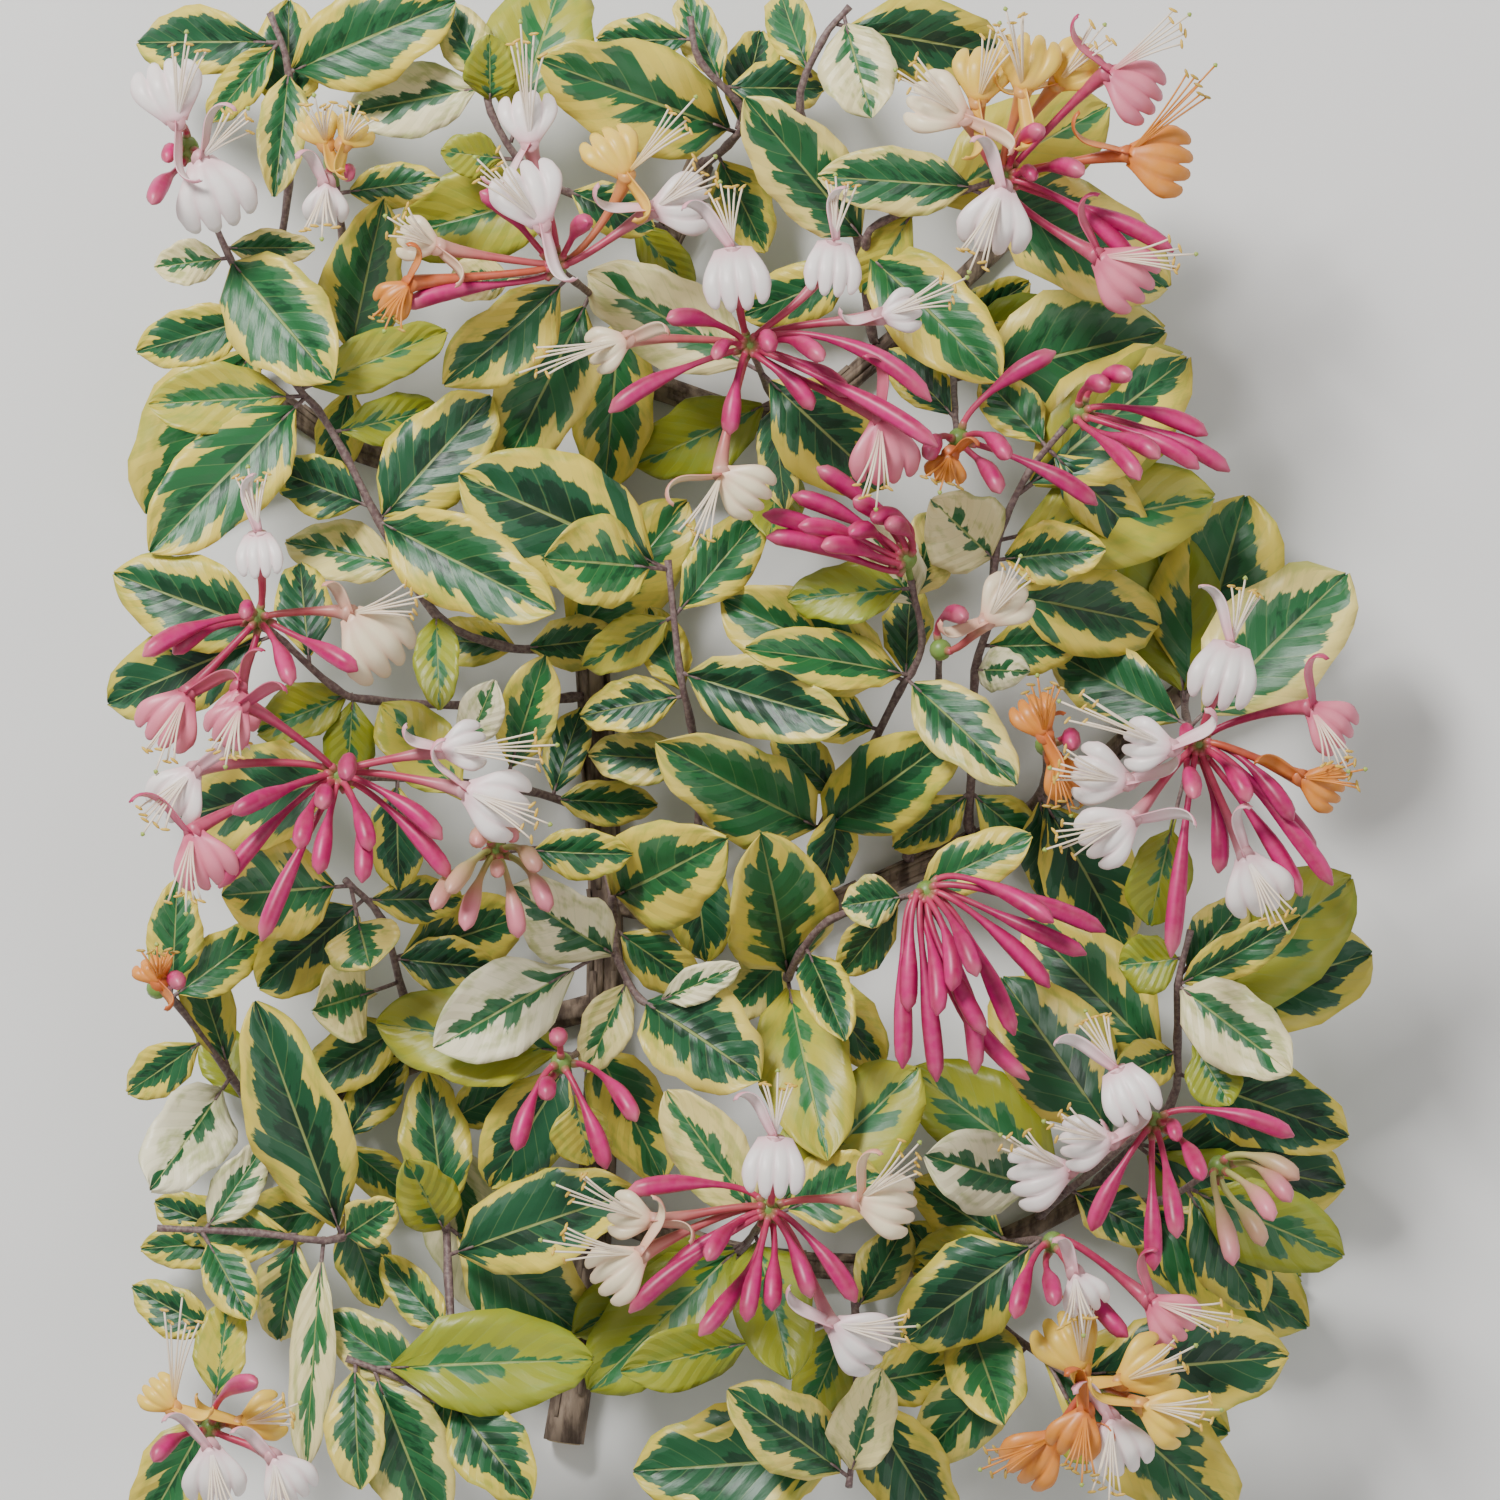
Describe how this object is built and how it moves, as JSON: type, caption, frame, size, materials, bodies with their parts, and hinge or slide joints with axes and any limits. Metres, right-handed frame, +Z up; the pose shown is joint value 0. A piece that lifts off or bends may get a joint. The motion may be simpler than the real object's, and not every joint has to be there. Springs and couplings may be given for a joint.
{
  "type": "honeysuckle vine",
  "caption": "Cut honeysuckle vine lying down: barked stem, cream-edged waved leaves, heads of pink buds and two-lipped flowers.",
  "frame": {"origin": "middle of the flat strip under the main stem, on the surface the vine lies on", "axes": "+Z up from the surface to the viewer, +Y towards the growing end of the vine, +X to the right as seen from above"},
  "size_m": [0.3185, 0.3956, 0.1096],
  "materials": {
    "bark": "rough peeling bark",
    "leaf": "satin leaf, green with cream edges",
    "petal": "soft matt petal, pink to white"
  },
  "bodies": {
    "root": {"vine": "bark", "shoot_far_left": "leaf", "shoot_top_left": "leaf", "shoot_v": "leaf", "shoot_c": "leaf", "shoot_top_mid": "leaf", "shoot_top_right_mid": "leaf", "shoot_b": "leaf", "shoot_top_right": "leaf", "shoot_a": "leaf", "shoot_i": "leaf", "shoot_j": "leaf", "shoot_h": "leaf", "shoot_l": "leaf", "shoot_k": "leaf", "shoot_u": "leaf", "shoot_t": "leaf", "shoot_right_side": "leaf", "shoot_m": "leaf", "shoot_p": "leaf", "shoot_q": "leaf", "shoot_s": "leaf", "shoot_bottom_right": "leaf", "shoot_n": "leaf", "shoot_o": "leaf", "shoot_mid": "leaf", "shoot_mid_lower": "leaf", "shoot_f": "leaf", "shoot_g": "leaf", "shoot_e": "leaf", "shoot_left_mid": "leaf", "shoot_lower_left": "leaf", "shoot_lower_mid": "leaf", "shoot_r": "leaf", "shoot_w": "leaf", "bloom_a": "petal", "bloom_b": "petal", "bloom_c": "petal", "bloom_d": "petal", "bloom_v": "petal", "bloom_e": "petal", "bloom_f": "petal", "bloom_g": "petal", "bloom_h": "petal", "bloom_i": "petal", "bloom_j": "petal", "bloom_t": "petal", "bloom_k": "petal", "bloom_u": "petal", "bloom_l": "petal", "bloom_m": "petal", "bloom_p": "petal", "bloom_q": "petal", "bloom_n": "petal", "bloom_o": "petal", "bloom_r": "petal", "bloom_s": "petal", "bloom_w": "petal"}
  },
  "joints": []
}
